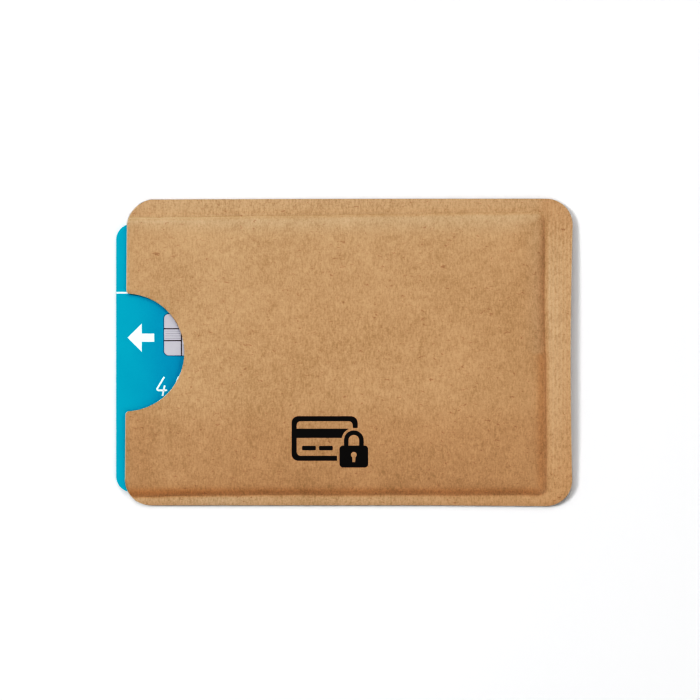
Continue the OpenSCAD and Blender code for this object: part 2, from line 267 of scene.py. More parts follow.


# Turquoise print under a clear gloss overlay. The front is drawn darker further in from its near end, as
# painted shade of the sleeve over it, and the back a little paler towards the far end.
cardPrintAndShade = dict(
    frontNear=srgb(0, 173, 195),
    frontFar=srgb(0, 150, 181),
    backNear=srgb(0, 140, 178),
    backFar=srgb(0, 150, 186),
    dot=srgb(70, 205, 225),
    fade=(-2.0, 16.0),  # from the card's near end
    grain=0.09,
    cloud=6.0,
    scuff=0.35,
    height=0.003,
    gloss=0.16,
)


def cardMaterial(name, near, far):
    g = startMaterial(name)
    start, end = [(cardLow[0] + away) * mm for away in cardPrintAndShade["fade"]]
    dots = noise(g, cardPrintAndShade["grain"], detail=1.0)
    cloud = noise(g, cardPrintAndShade["cloud"], detail=3.0)
    colour = mixColour(g, ramp(g, alongX(g), start, end), near, far)
    speckle = (dots - 0.5) * 0.25 + (cloud - 0.5) * 0.2 + 0.1
    scuff = noise(g, cardPrintAndShade["scuff"], detail=4.0, stretch=(16, 1, 1), turn=3)
    values = {
        "Base Color": mixColour(g, speckle, colour, cardPrintAndShade["dot"]),
        "Roughness": cardPrintAndShade["gloss"] + (scuff - 0.5) * 0.18,
        "Coat Weight": 0.4,
        "Coat Roughness": 0.1,
        "Normal": bump(g, dots * 0.4 + cloud, cardPrintAndShade["height"]),
    }
    return endMaterial(g, values)


# All other sheets and parts: two close colours, mottled by a fine and a broad grain
looks = dict(
    shieldingFoil=dict(  # bright, with the creases of a laminate
        pale=srgb(205, 208, 212),
        deep=srgb(188, 192, 198),
        fine=dict(size=0.08, stretch=(30, 1, 1)),
        broad=dict(size=1.6, detail=4.0, rough=0.6, bend=1.5),
        tone=(0, 1),  # the share of either grain in the colour, and in the height
        relief=(0.2, 1),
        height=0.02,
        roughness=0.3,
        metallic=1.0,
    ),
    liningFilm=dict(  # clear, so the foil shines through it
        pale=srgb(206, 209, 213),
        deep=srgb(176, 180, 186),
        fine=dict(size=0.12),
        broad=dict(size=2.2, detail=4.0, rough=0.55, bend=1.2),
        tone=(0, 1),
        relief=(0, 1),
        height=0.03,
        roughness=0.34,
        uneven=0.15,
        metallic=0.75,
        coat=0.35,
    ),
    contactMetal=dict(  # a satin face with a faint brushed grain
        pale=srgb(212, 210, 218),
        deep=srgb(194, 192, 201),
        fine=dict(size=0.05, detail=3.0, stretch=(22, 1, 1)),
        broad=dict(size=1.6),
        tone=(0.6, 0.4),
        relief=(1, 0),
        height=0.003,
        roughness=0.36,
        uneven=0.25,
        metallic=0.12,
    ),
    edgeGlue=dict(
        pale=srgb(240, 234, 218),
        deep=srgb(226, 216, 192),
        fine=dict(size=0.8, detail=3.0),
        tone=(1, 0),
        relief=(1, 0),
        height=0.01,
        roughness=0.5,
    ),
    whiteInk=dict(pale=srgb(244, 250, 252), deep=srgb(228, 240, 244), roughness=0.35),
    blackInk=dict(pale=srgb(38, 33, 30), deep=srgb(20, 17, 16), roughness=0.6, height=0.006),
    antennaCopper=dict(pale=srgb(214, 138, 92), deep=srgb(176, 98, 58), roughness=0.32, metallic=1.0),
    coreWhite=dict(pale=srgb(245, 246, 246), deep=srgb(228, 231, 232), roughness=0.5),
    stripeTape=dict(pale=srgb(48, 41, 38), deep=srgb(30, 26, 24), roughness=0.3),
    writingStrip=dict(pale=srgb(250, 249, 244), deep=srgb(232, 230, 222), roughness=0.7),
    chipTape=dict(pale=srgb(74, 62, 60), deep=srgb(52, 44, 44), roughness=0.6),
    chipAdhesive=dict(pale=srgb(226, 208, 150), deep=srgb(204, 184, 122), roughness=0.4),
    silicon=dict(pale=srgb(92, 98, 110), deep=srgb(70, 76, 88), roughness=0.2, metallic=0.5),
    chipResin=dict(pale=srgb(40, 38, 36), deep=srgb(26, 24, 23), roughness=0.35),
    silverPaste=dict(pale=srgb(190, 190, 192), deep=srgb(160, 160, 164), roughness=0.5, metallic=0.8),
    engravedLine=dict(pale=srgb(150, 147, 154), deep=srgb(128, 125, 133), roughness=0.5),
    plateSeat=dict(pale=srgb(62, 50, 74), deep=srgb(44, 36, 56), roughness=0.6),
)
plainLook = dict(  # what a look has unless it says otherwise
    fine=dict(size=0.15, detail=3.0),
    broad=dict(size=2.1, detail=3.0),
    tone=(0.5, 0.5),
    relief=(1, 1),
    height=0.004,
    uneven=0.2,
    metallic=0.0,
    coat=0.0,
)


def lookMaterial(name):
    look = {**plainLook, **looks[name]}
    g = startMaterial(name)
    fine, broad = noise(g, **look["fine"]), noise(g, **look["broad"])
    tone, relief = [fine * look[share][0] + broad * look[share][1] for share in ("tone", "relief")]
    values = {
        "Base Color": mixColour(g, tone, look["deep"], look["pale"]),
        "Metallic": look["metallic"],
        "Roughness": look["roughness"] + (fine - 0.5) * look["uneven"],
        "Coat Weight": look["coat"],
        "Coat Roughness": 0.12,
        "Normal": bump(g, relief, look["height"]),
    }
    return endMaterial(g, values)


kraftPaper = kraftMaterial()
cardFront = cardMaterial("cardFront", cardPrintAndShade["frontNear"], cardPrintAndShade["frontFar"])
cardBack = cardMaterial("cardBack", cardPrintAndShade["backNear"], cardPrintAndShade["backFar"])
finish = {name: lookMaterial(name) for name in looks}

nodeFinishes = (  # each with the nodes that have it
    (kraftPaper, "front_paper", "back_paper"),
    (finish["shieldingFoil"], "front_foil", "back_foil"),
    (finish["liningFilm"], "front_lining", "back_lining"),
    (finish["edgeGlue"], "edge_seal"),
    (cardFront, "card_front_overlay", "card_front_print"),
    (cardBack, "card_back_overlay", "card_back_print"),
    (finish["coreWhite"], "card_upper_core", "card_lower_core"),
    (finish["stripeTape"], "magnetic_stripe"),
    (finish["writingStrip"], "signature_strip"),
    (finish["contactMetal"], "contact_plate"),
    (finish["chipTape"], "chip_tape"),
    (finish["chipAdhesive"], "chip_adhesive"),
    (finish["silicon"], "chip_die"),
    (finish["chipResin"], "chip_resin"),
    (finish["antennaCopper"], "antenna_coil", "antenna_strap"),
    (finish["silverPaste"], "antenna_posts"),
)
nodeMaterials = {node: material for material, *nodes in nodeFinishes for node in nodes}

for nodeName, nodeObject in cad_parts.items():
    nodeObject.data.materials.clear()
    nodeObject.data.materials.append(nodeMaterials[nodeName])
print("materials made")


# The flat sheet: rings of points from the die-cut edge to the middle of the pocket.
# X runs from the mouth to the closed end, and Y from the lower edge to the upper one.

sleeve = dict(  # as its sheets are cut and pressed, in millimetres
    cornerRadius=5.5,
    notchRadius=11.8,
    easeRadius=0.8,  # eases the notch into the mouth
    endFlange=5.5,
    upperFlange=3.2,
    lowerFlange=2.1,
    seamRadius=1.6,
    crownGap=0.1,
    cardRadius=3.18,
    faceGap=0.05,
    shoulder=0.45,
    dome=0.9,
    domePower=3.0,
    domeRun=24.0,
    mouthRun=32.0,
    mouthShoulder=0.45,  # shares of the full height
    mouthDome=0.15,
    grooveDepth=0.09,
    grooveWidth=0.4,
    groovePlace=-0.12,
    waveHeight=0.07,
    waveSize=9.0,
    edgeRound=0.055,
    edgeAngle=62,
)

# What cutting, pressing and use made of it. A pair for X or Y is where a change starts and is full.
offTrue = dict(
    upperEase=-0.28,  # the upper shoulder is a little tighter
    upperEaseY=(20, 26),
    cornerEase=0.5,  # the panel is softest at its upper far corner
    cornerEaseX=(31, 38),
    cornerEaseY=(16, 25),
    cornerRun=0.9,  # where its wall also leans furthest
    cornerRunX=(35, 38),
    cornerRunY=(23, 25.5),
    endLift=1.27,  # the far flange curls up a little, most at its middle
    liftPower=1.25,
    liftFall=0.92,
    liftFallPower=3,
    lowerDroop=0.3,
    droopPower=2.2,
    endBow=0.62,  # the swollen pocket draws the far edge in
    endOut=(0.14, 0.06),  # but it lies further out, by its middle and by its upper corner
    endPower=6,
    sidePower=4,
    trimUpper=0.16,
    trimLower=0.2,
    trimRun=3.3,
    upperSlant=0.0216,  # the seams run slightly askew to the cut edges
    upperShift=-0.02,
    upperReach=1.6,  # how far in the wall follows each seam's shift
    lowerShift=0.24,
    lowerReach=1.0,
    mouthSag=0.46,  # the lower seam bends down near the mouth
    mouthSagX=(-20, -44),
    sideWaves=((0.06, 0.29, 0), (0.04, 0.73, 2)),  # height, rate and start
    waveLean=1.3,
    endWave=(0.05, 0.31, 1),
    endSeam=0.41,  # the end seam lies further out below its middle
    endStep=0.6,
    stepHalf=2,
    endReach=(2.0, 1.6),
    endRun=6,
    mouthShift=-0.09,
    mouthTilt=0.0075,
    followRun=12,
)

# Painted shade, where the paper is drawn darker: a share, and where along the sheet it starts and is full
paintedShadePlaces = dict(
    lowerHalf=(0.68, -8, -17),
    nearMouth=(0.35, -38, -42),
    endFlange=0.3,
    endFlangeX=(37.5, 40),
    endTop=(0.5, 21, 27),
    endMiddle=(0.2, 2, -3),
    endFoot=(-0.1, -22, -27),
    upperMouth=(0.5, -34, -43),
    panelDepth=(0, 1.8),
    flangeDepth=(0, -0.5),
)

# The tones along the seams, most of them painted shade and painted light. Depths run inwards from the
# seam, and some pairs are a place and a width.
tones = dict(
    flangeBlend=0.4,
    lowerFlange=0.35,  # how much less the lower flange differs from the panel
    besideX=(-2, 1),
    mouthX=(-22, -32),
    bend=(0.85, 0.85),  # painted warm shade in the crease between lower flange and wall
    warmShadeShares=(0.42, 0.1),  # along the seam, and more near the mouth
    # painted shade in the lower crease, stronger near the mouth
    creaseShade=(0.5, 0.45),
    creaseShadeShares=(0.3, 0.5),
    # painted light on the lower and upper flanges
    lowerPaintedLight=(0.5, -0.4),  # near the mouth, and what it changes by towards the end
    lowerPaintedLightX=(5, 30),
    paintedLightPatch=(-26, 7),
    paintedLightPatchShare=0.5,
    upperPaintedLight=0.3,
    paintedLightDepth=(0, -0.6),
    # a painted highlight along the upper crown
    crown=0.38,
    crownDepth=(0, 0.6),
    crownFade=(1.2, 2.2),
)


def mix(first, second, share):
    return first + (second - first) * share


def clamp(value):
    return min(max(value, 0), 1)


def rising(value, start, full):
    return clamp((value - start) / (full - start))


def fade(value, start, full):  # the same, but eased at both ends
    share = rising(value, start, full)
    return share * share * (3 - 2 * share)


def hump(value, place, width):
    return math.exp(-(((value - place) / width) ** 2))


def ripple(wave, at, lean=0):
    height, rate, start = wave
    return height * math.sin(rate * at + start + lean)


def mouthEdge(y):  # where the sheet starts along X at a given Y
    away = abs(y)
    start = paperLow[0]
    radius = sleeve["notchRadius"]
    ease = sleeve["easeRadius"]
    easeY = math.sqrt((radius + ease) ** 2 - ease**2)
    cornerY = paperHigh[1] - sleeve["cornerRadius"]
    if away <= easeY * radius / (radius + ease):
        return start + math.sqrt(radius**2 - away**2)
    if away < easeY:
        return start + ease - math.sqrt(ease**2 - (easeY - away) ** 2)
    if away > cornerY:
        corner = sleeve["cornerRadius"]
        return start + corner - math.sqrt(max(corner**2 - (away - cornerY) ** 2, 0))
    return start


# Each form: its far side, its top, its bottom and its corner radius
outlineForm = (paperHigh[0], paperHigh[1], paperLow[1], sleeve["cornerRadius"])
seamForm = (
    paperHigh[0] - sleeve["endFlange"],
    paperHigh[1] - sleeve["upperFlange"],
    paperLow[1] + sleeve["lowerFlange"],
    sleeve["seamRadius"],
)
crownForm = (
    cardHigh[0] + sleeve["crownGap"],
    cardHigh[1] + sleeve["crownGap"],
    cardLow[1] - sleeve["crownGap"],
    sleeve["cardRadius"] + sleeve["crownGap"],
)
cardHalf = (cardHigh[2] - cardFoot) / 2
sealHalf = (sealHigh[2] - sealLow[2]) / 2
wallRise = cardHalf + sleeve["faceGap"] - sealHalf
narrowest = min(seamForm[0] - cardHigh[0], seamForm[1] - cardHigh[1], cardLow[1] - seamForm[2])
nearCut = (0, 0.0006, 0.004, 0.012)  # the first points of a ring lie close together, where it is cut


def ringPoints(right, top, bottom, radius, counts):  # open at the mouth, from below to above
    runCount, arcCount, endCount = counts
    shares = np.concatenate([nearCut[:-1], np.linspace(nearCut[-1], 1, runCount)])
    side = np.linspace(bottom + radius, top - radius, endCount + 2)[1:-1]
    turn = np.linspace(0, math.pi / 2, arcCount + 1)
    middleX, lowY, highY = right - radius, bottom + radius, top - radius
    points = [(mix(mouthEdge(bottom), middleX, s), bottom) for s in shares[:-1]]
    points += [(middleX + radius * math.sin(a), lowY - radius * math.cos(a)) for a in turn]
    points += [(right, y) for y in side]
    points += [(middleX + radius * math.cos(a), highY + radius * math.sin(a)) for a in turn]
    points += [(mix(mouthEdge(top), middleX, s), top) for s in shares[-2::-1]]
    return points


def growth(x, atMouth):  # the panel is low at the mouth and full further in
    share = clamp((x - paperLow[0]) / sleeve["mouthRun"])
    return mix(atMouth, 1, (1 - math.cos(math.pi * share)) / 2)


def softCorner(x, y):
    return 1 - offTrue["cornerEase"] * fade(x, *offTrue["cornerEaseX"]) * fade(y, *offTrue["cornerEaseY"])


def shoulderRise(x, y, wall, depth):
    height = sleeve["shoulder"] * growth(x, sleeve["mouthShoulder"]) * softCorner(x, y)
    run = narrowest / math.log(1 + wallRise / height)
    run *= 1 + offTrue["upperEase"] * wall * rising(y, *offTrue["upperEaseY"])
    run *= 1 + offTrue["cornerRun"] * fade(x, *offTrue["cornerRunX"]) * fade(y, *offTrue["cornerRunY"])
    return (wallRise + height) * (1 - math.exp(-max(depth, 0) / run))


def insideSeam(x, y):  # how far a point lies inside the seam, negative on the flange
    right, top, bottom, radius = seamForm
    overX = x - (right - radius)
    overY = abs(y - (top + bottom) / 2) - ((top - bottom) / 2 - radius)
    return radius - math.hypot(max(overX, 0), max(overY, 0)) - min(max(overX, overY), 0)


def askew(x, y, inside, depth):  # moves a point by the small errors of cutting and pressing
    right, top = outlineForm[:2]
    u = (right - x) / (right - paperLow[0])
    v = y / top
    atMiddle, atCorner = offTrue["endOut"]
    bow = offTrue["endBow"] * (1 - v * v) - atMiddle - atCorner * v
    bow *= (1 - u) ** offTrue["endPower"] * (1 - inside)
    longWave, shortWave = offTrue["sideWaves"]
    wave = ripple(longWave, x, offTrue["waveLean"] * v) + ripple(shortWave, x)
    if y < 0:
        trim = offTrue["trimLower"] * min(u * offTrue["trimRun"], 1)
        slant = offTrue["lowerShift"] - offTrue["mouthSag"] * fade(x, *offTrue["mouthSagX"])
        reach = offTrue["lowerReach"]
    else:
        trim = -offTrue["trimUpper"] * u * u
        slant = offTrue["upperSlant"] * x + offTrue["upperShift"]
        reach = offTrue["upperReach"]
    step = 1 / (1 + math.exp(-y / offTrue["stepHalf"]))
    endSlant = offTrue["endSeam"] - offTrue["endStep"] * step + ripple(offTrue["endWave"], y)
    endSlant *= max(1 - u * offTrue["endRun"], 0) * inside
    inward = max(depth, 0)
    mouth = (offTrue["mouthTilt"] * y - offTrue["mouthShift"]) * max(u, 0) ** offTrue["endPower"]
    shiftX = endSlant * hump(inward, 0, mix(*offTrue["endReach"], step)) - bow + mouth
    shiftY = trim * (1 - inside) + (slant + wave) * inside * hump(inward, 0, reach)
    shiftY *= abs(v) ** offTrue["sidePower"]
    follow = mouthEdge(y + shiftY * inside) - mouthEdge(y)  # what moves along the mouth stays on its cut
    shiftX += follow * max(1 - (x - mouthEdge(y)) / offTrue["followRun"], 0)
    return x + shiftX, y + shiftY


spacing = dict(samples=2001, shoulder=7, shoulderWidth=0.05, notch=5, notchWidth=0.02, notchClear=0.2)


def domeShares(count):  # rings lie closer together over the shoulder and where the notch ends
    places = np.linspace(0, 1, spacing["samples"])
    density = 1 + spacing["shoulder"] * np.exp(-places / spacing["shoulderWidth"])
    for side in (crownForm[1], -crownForm[2]):
        notch = (side - sleeve["notchRadius"] - spacing["notchClear"]) / sleeve["domeRun"]
        density += spacing["notch"] * np.exp(-(((places - notch) / spacing["notchWidth"]) ** 2))
    total = np.cumsum(density)
    total = (total - total[0]) / (total[-1] - total[0])
    return np.interp(np.linspace(0, 1, count), total, places)


def sheetRings(steps):  # each ring: its form, how far inside the outline, its wall, its dome
    flangeSteps, wallSteps, domeSteps, ridgeSteps = steps
    rings = []
    for i in range(flangeSteps + (wallSteps == 0)):
        share = (i / flangeSteps) ** 2
        rings.append(([mix(a, b, share) for a, b in zip(outlineForm, seamForm)], share, 0, 0))
    for i in range(wallSteps):
        share = i / wallSteps
        rings.append(([mix(a, b, share) for a, b in zip(seamForm, crownForm)], 1, share, 0))
    if domeSteps == 0:
        return rings
    halfHeight = (crownForm[1] - crownForm[2]) / 2
    for share in domeShares(domeSteps):
        run = sleeve["domeRun"] * share
        radius = mix(crownForm[3], halfHeight - run, share)
        form = (crownForm[0] - run, crownForm[1] - run, crownForm[2] + run, radius)
        rings.append((form, 1, 1, 1 - (1 - share) ** sleeve["domePower"]))
    ridge = rings[-1][0]
    middle = (ridge[1] + ridge[2]) / 2
    for i in range(1, ridgeSteps + 1):
        share = i / ridgeSteps
        half = ridge[3] * (1 - share)
        rings.append(((ridge[0] - ridge[3] * share, middle + half, middle - half, half), 1, 1, 1))
    return rings


def paintedShadePart(name, at):
    share, start, full = paintedShadePlaces[name]
    return share * fade(at, start, full)


# painted shade below the middle, near the mouth, and on the far and upper flanges
def paintedShadeShare(x, y, depth):
    panel = paintedShadePart("lowerHalf", y) + paintedShadePart("nearMouth", x) * (y < 0)
    end = paintedShadePlaces["endFlange"] + paintedShadePart("endTop", y)
    end += paintedShadePart("endMiddle", y) + paintedShadePart("endFoot", y)
    flange = end * fade(x, *paintedShadePlaces["endFlangeX"]) + paintedShadePart("upperMouth", x) * (y > 0)
    return panel * fade(depth, *paintedShadePlaces["panelDepth"]) + flange * fade(depth, *paintedShadePlaces["flangeDepth"])


def paintedLightShare(x, y, depth):  # painted light: the flanges drawn paler, and a painted highlight on the upper crown
    if y < 0:
        start, change = tones["lowerPaintedLight"]
        patch = tones["paintedLightPatchShare"] * hump(x, *tones["paintedLightPatch"])
        worn = start + change * fade(x, *tones["lowerPaintedLightX"]) + patch
    else:
        worn = tones["upperPaintedLight"]
    place, width = tones["crownFade"]
    crown = tones["crown"] * fade(depth, *tones["crownDepth"])
    crown *= hump(max(depth - place, 0), 0, width) * (y > 0)
    return worn * fade(depth, *tones["paintedLightDepth"]) + crown


def alongSeam(name, x):
    share, more = tones[name]
    return share + more * fade(x, *tones["mouthX"])


def liftShare(x, y):  # how far the far flange curls up and the lower one droops
    out = max(x - seamForm[0], 0) / sleeve["endFlange"]
    fall = offTrue["liftFall"] * abs(y / outlineForm[1]) ** offTrue["liftFallPower"]
    lift = (1 - (1 - min(out, 1)) ** offTrue["liftPower"]) * (1 - fall)
    down = max(seamForm[2] - y, 0) / sleeve["lowerFlange"]
    return lift - down ** offTrue["droopPower"] * offTrue["lowerDroop"] / offTrue["endLift"]


def pointValues(x, y, depth, wall, dome, front):
    beside = rising(x - seamForm[0], *tones["besideX"])  # none along the long sides, full at the end
    lower = (1 - beside) * (y < 0)
    upper = (1 - beside) * (y > 0)
    backRise = wallRise * (1 - math.cos(math.pi * wall)) / 2
    # painted shade in the lower crease
    creaseShade = hump(depth, *tones["creaseShade"]) * alongSeam("creaseShadeShares", x) * lower
    return dict(
        rise=shoulderRise(x, y, wall, depth) if front else backRise,
        dome=dome * growth(x, sleeve["mouthDome"]) * mix(softCorner(x, y), 1, dome),
        flange=clamp(-depth / tones["flangeBlend"]) * (1 - tones["lowerFlange"] * lower),
        groove=hump(depth, sleeve["groovePlace"], sleeve["grooveWidth"]) * upper,
        # the next three are painted: warm shade in the lower crease, shade, and light on the flanges and
        # the upper crown
        bend=hump(depth, *tones["bend"]) * alongSeam("warmShadeShares", x) * lower * front,
        shade=(paintedShadeShare(x, y, depth) + creaseShade) * front,
        worn=paintedLightShare(x, y, depth) * (1 - beside) * front,
        lift=liftShare(x, y),
    )


def newObject(name, mesh):
    made = bpy.data.objects.new(name, mesh)
    bpy.context.collection.objects.link(made)
    return made


def flatSheet(name, front, steps, counts):
    points, records = [], []
    rings = sheetRings(steps)
    for form, inside, wall, dome in rings:
        for x, y in ringPoints(*form, counts):
            depth = insideSeam(x, y)
            movedX, movedY = askew(x, y, inside, depth)
            points.append((movedX * mm, movedY * mm, 0))
            records.append(pointValues(x, y, depth, wall, dome, front))
    count = len(points) // len(rings)
    faces = []
    for i in range(len(rings) - 1):
        for j in range(count - 1):
            a = i * count + j
            quad = (a, a + 1, a + 1 + count, a + count)
            faces.append(quad if front else quad[::-1])
    mesh = bpy.data.meshes.new(name)
    mesh.from_pydata(points, [], faces)
    for label in records[0]:
        values = [record[label] for record in records]
        mesh.attributes.new(label, "FLOAT", "POINT").data.foreach_set("value", values)
    work = bmesh.new()
    work.from_mesh(mesh)
    bmesh.ops.remove_doubles(work, verts=work.verts, dist=0.0005 * mm)
    work.to_mesh(mesh)
    work.free()
    return newObject(name, mesh)


# Geometry nodes: press a flat sheet over the card and give it its thickness


def addInput(tree, name, kind, value=None):
    socket = tree.interface.new_socket(name, in_out="INPUT", socket_type=kind)
    if value is not None:
        socket.default_value = value


def geometryTree(name, lengths, others=()):
    tree = bpy.data.node_groups.new(name, "GeometryNodeTree")
    addInput(tree, "Geometry", "NodeSocketGeometry")
    for label in lengths:
        addInput(tree, label, "NodeSocketFloat", mm)
    for label, kind, value in others:
        addInput(tree, label, kind, value)
    addInput(tree, "Material", "NodeSocketMaterial")
    tree.interface.new_socket("Geometry", in_out="OUTPUT", socket_type="NodeSocketGeometry")
    graph = Graph(tree)
    entry = tree.nodes.new("NodeGroupInput")
    given = {socket.name: Wire(graph, socket) for socket in entry.outputs if socket.name}
    return tree, graph, given


def endTree(graph, geometry, material):
    realised = graph.node("GeometryNodeRealizeInstances", {}, {"Geometry": geometry})
    shaded = graph.node("GeometryNodeSetMaterial", {}, {"Geometry": realised, "Material": material})
    output = graph.tree.nodes.new("NodeGroupOutput")
    graph.tree.links.new(shaded.socket, output.inputs[0])


def attribute(graph, name):
    return graph.node("GeometryNodeInputNamedAttribute", {"data_type": "FLOAT"}, {"Name": name})


def upwards(graph, height):
    return graph.node("ShaderNodeCombineXYZ", {}, {"X": 0.0, "Y": 0.0, "Z": height})


def moved(graph, values):
    return graph.node("GeometryNodeSetPosition", {}, values)


def extruded(graph, mesh, height):
    values = {"Mesh": mesh, "Offset": upwards(graph, height), "Individual": False}
    return graph.node("GeometryNodeExtrudeMesh", {}, values)


def joined(graph, *parts):  # one solid from its faces
    join = graph.node("GeometryNodeJoinGeometry")
    for part in parts:
        graph.tree.links.new(part.socket, join.socket.node.inputs[0])
    merge = {"Geometry": join, "Distance": 0.0005 * mm}
    return graph.node("GeometryNodeMergeByDistance", {}, merge)


def pressTree():
    lengths = ("Level", "Dome Height", "Thickness", "Groove Depth", "End Lift", "Wave Height", "Wave Size")
    others = (("Side", "NodeSocketFloat", 1.0), ("Seed", "NodeSocketFloat", 0.0))
    tree, g, given = geometryTree("pressSheet", lengths, others)
    side = given["Side"]
    rise, dome, groove, lift = [attribute(g, name) for name in ("rise", "dome", "groove", "lift")]
    values = {0: g.node("GeometryNodeInputPosition"), "Scale": 1 / given["Wave Size"]}
    spread = g.node("ShaderNodeVectorMath", {"operation": "SCALE"}, values)
    values = {"Vector": spread, "W": given["Seed"], "Scale": 1.0, "Detail": 2.0}
    wave = g.node("ShaderNodeTexNoise", {"noise_dimensions": "4D"}, values)
    height = rise * mm + given["Dome Height"] * dome - given["Wave Height"] * wave * dome
    level = given["Level"] + side * height + given["End Lift"] * lift
    pressed = moved(g, {"Geometry": given["Geometry"], "Offset": upwards(g, level)})
    outer = extruded(g, pressed, side * given["Thickness"])
    dent = upwards(g, side * -1 * given["Groove Depth"] * groove)
    dented = moved(g, {"Geometry": outer, "Selection": outer.beside("Top"), "Offset": dent})
    inner = g.node("GeometryNodeFlipFaces", {}, {"Mesh": pressed})
    rounded = g.node("GeometryNodeSetShadeSmooth", {}, {"Geometry": joined(g, inner, dented)})
    endTree(g, rounded, given["Material"])
    return tree


def runTree(made, tree, values):
    modifier = made.modifiers.new("shape", "NODES")
    modifier.node_group = tree
    for item in tree.interface.items_tree:
        if item.in_out == "INPUT" and item.name in values:
            modifier[item.identifier] = values[item.name]
    depsgraph = bpy.context.evaluated_depsgraph_get()
    mesh = bpy.data.meshes.new_from_object(made.evaluated_get(depsgraph))
    made.modifiers.clear()
    old = made.data
    made.data = mesh
    bpy.data.meshes.remove(old)


def roundEdges(made, width, sharpest):  # eases the cut edges and keeps their flats flat
    work = bmesh.new()
    work.from_mesh(made.data)
    sharp = [e for e in work.edges if len(e.link_faces) == 2 and e.calc_face_angle() > sharpest]
    bmesh.ops.bevel(work, geom=sharp, offset=width * mm, segments=2, profile=0.5, affect="EDGES")
    for face in work.faces:
        face.smooth = True
    work.to_mesh(made.data)
    work.free()


def finishPiece(made, body, slot, *nodes):
    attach(made, body)
    if nodes:
        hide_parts(*nodes)
    return made


pressSheet = pressTree()
wholeSheet = ((12, 12, 104, 8), (84, 12, 52))  # rings, and points along each part of a ring
coarseSheet = ((5, 8, 44, 4), (42, 8, 26))
flangeOnly = ((5, 0, 0, 0), (42, 8, 26))
layers = dict(  # the face nearest the glue, the thickness and the mesh
    seal=(-2 * sealHalf, 2 * sealHalf, flangeOnly),
    lining=(0.0, 0.03, coarseSheet),
    foil=(0.03, 0.02, coarseSheet),
    paper=(0.05, 0.2, wholeSheet),
)


def sleeveSheet(name, node, slot, side, layer):
    front = side > 0
    below, thickness, density = layers[layer]
    made = flatSheet(name, front, *density)
    isPaper = layer == "paper"
    values = {
        "Side": float(side),
        "Level": (middleZ + side * (sealHalf + below)) * mm,
        "Dome Height": sleeve["dome"] * mm if front else 0.0,
        "Thickness": thickness * mm,
        "Groove Depth": sleeve["grooveDepth"] * mm if isPaper else 0.0,
        "End Lift": offTrue["endLift"] * mm,
        "Wave Height": sleeve["waveHeight"] * mm,
        "Wave Size": sleeve["waveSize"] * mm,
        "Seed": 3.0 if front else 7.0,
        "Material": nodeMaterials[node],
    }
    runTree(made, pressSheet, values)
    if isPaper:
        roundEdges(made, sleeve["edgeRound"], math.radians(sleeve["edgeAngle"]))
    return finishPiece(made, "sleeve", slot, node)


frontPanel = sleeveSheet("frontPanel", "front_paper", "kraft_paper", 1, "paper")
sleeveSheet("backPanel", "back_paper", "kraft_paper", -1, "paper")
sleeveSheet("frontFoil", "front_foil", "shielding_foil", 1, "foil")
sleeveSheet("backFoil", "back_foil", "shielding_foil", -1, "foil")
sleeveSheet("frontLining", "front_lining", "lining_film", 1, "lining")
sleeveSheet("backLining", "back_lining", "lining_film", -1, "lining")
sleeveSheet("edgeGlueLine", "edge_seal", "edge_glue", 1, "seal")
print("sleeve pressed,", len(frontPanel.data.polygons), "faces on its front panel")


# Print: flat forms laid on a surface, and strokes drawn on the card


def layTree():
    others = (("Surface", "NodeSocketObject", None),)
    tree, g, given = geometryTree("layInk", ("Lift", "Thickness"), others)
    target = g.node("GeometryNodeObjectInfo", {}, {"Object": given["Surface"]}, out="Geometry")
    values = {"Target Geometry": target, "Ray Direction": (0, 0, -1), "Ray Length": 1.0}
    hit = g.node("GeometryNodeRaycast", {}, values, out="Hit Position")
    foot = upwards(g, given["Lift"] - given["Thickness"])
    laid = moved(g, {"Geometry": given["Geometry"], "Position": hit, "Offset": foot})
    under = g.node("GeometryNodeFlipFaces", {}, {"Mesh": laid})
    endTree(g, joined(g, under, extruded(g, laid, given["Thickness"])), given["Material"])
    return tree


layInk = layTree()
dropFrom = 8.0  # forms start above everything and are dropped on their surface


def flatForm(name, loops, cell):  # even loops fill and odd ones cut, and a grid lets the form bend
    curve = bpy.data.curves.new(name, "CURVE")
    curve.dimensions = "2D"
    curve.fill_mode = "BOTH"
    for loop in loops:
        spline = curve.splines.new("POLY")
        spline.points.add(len(loop) - 1)
        spline.use_cyclic_u = True
        for point, (x, y) in zip(spline.points, loop):
            point.co = (x, y, 0, 1)
    outline = bpy.data.objects.new(name, curve)
    mesh = bpy.data.meshes.new_from_object(outline)
    bpy.data.objects.remove(outline)
    work = bmesh.new()
    work.from_mesh(mesh)
    bmesh.ops.remove_doubles(work, verts=work.verts, dist=0.002)
    for axis in (0, 1):
        places = [vert.co[axis] for vert in work.verts]
        normal = (1 - axis, axis, 0)
        for step in np.arange(min(places) + cell / 2, max(places), cell):
            parts = [*work.verts, *work.edges, *work.faces]
            bmesh.ops.bisect_plane(work, geom=parts, plane_co=[step] * 3, plane_no=normal)
    for vert in work.verts:
        vert.co = (vert.co.x * mm, vert.co.y * mm, dropFrom * mm)
    for face in work.faces:
        face.normal_update()
        if face.normal.z < 0:
            face.normal_flip()
    work.to_mesh(mesh)
    work.free()
    return newObject(name, mesh)


def arcPoints(x, y, radius, start, end, steps=10):
    turns = np.radians(np.linspace(start, end, steps + 1))
    return [(x + radius * math.cos(a), y + radius * math.sin(a)) for a in turns]


def cornerArc(box, radius, quarter, steps=10):  # quarters count from the upper right, against the clock
    left, right, low, high = box
    x = right - radius if quarter in (0, 3) else left + radius
    y = high - radius if quarter in (0, 1) else low + radius
    return arcPoints(x, y, radius, 90 * quarter, 90 * quarter + 90, steps)


def roundedLoop(box, radius):
    return [point for quarter in range(4) for point in cornerArc(box, radius, quarter, 8)]


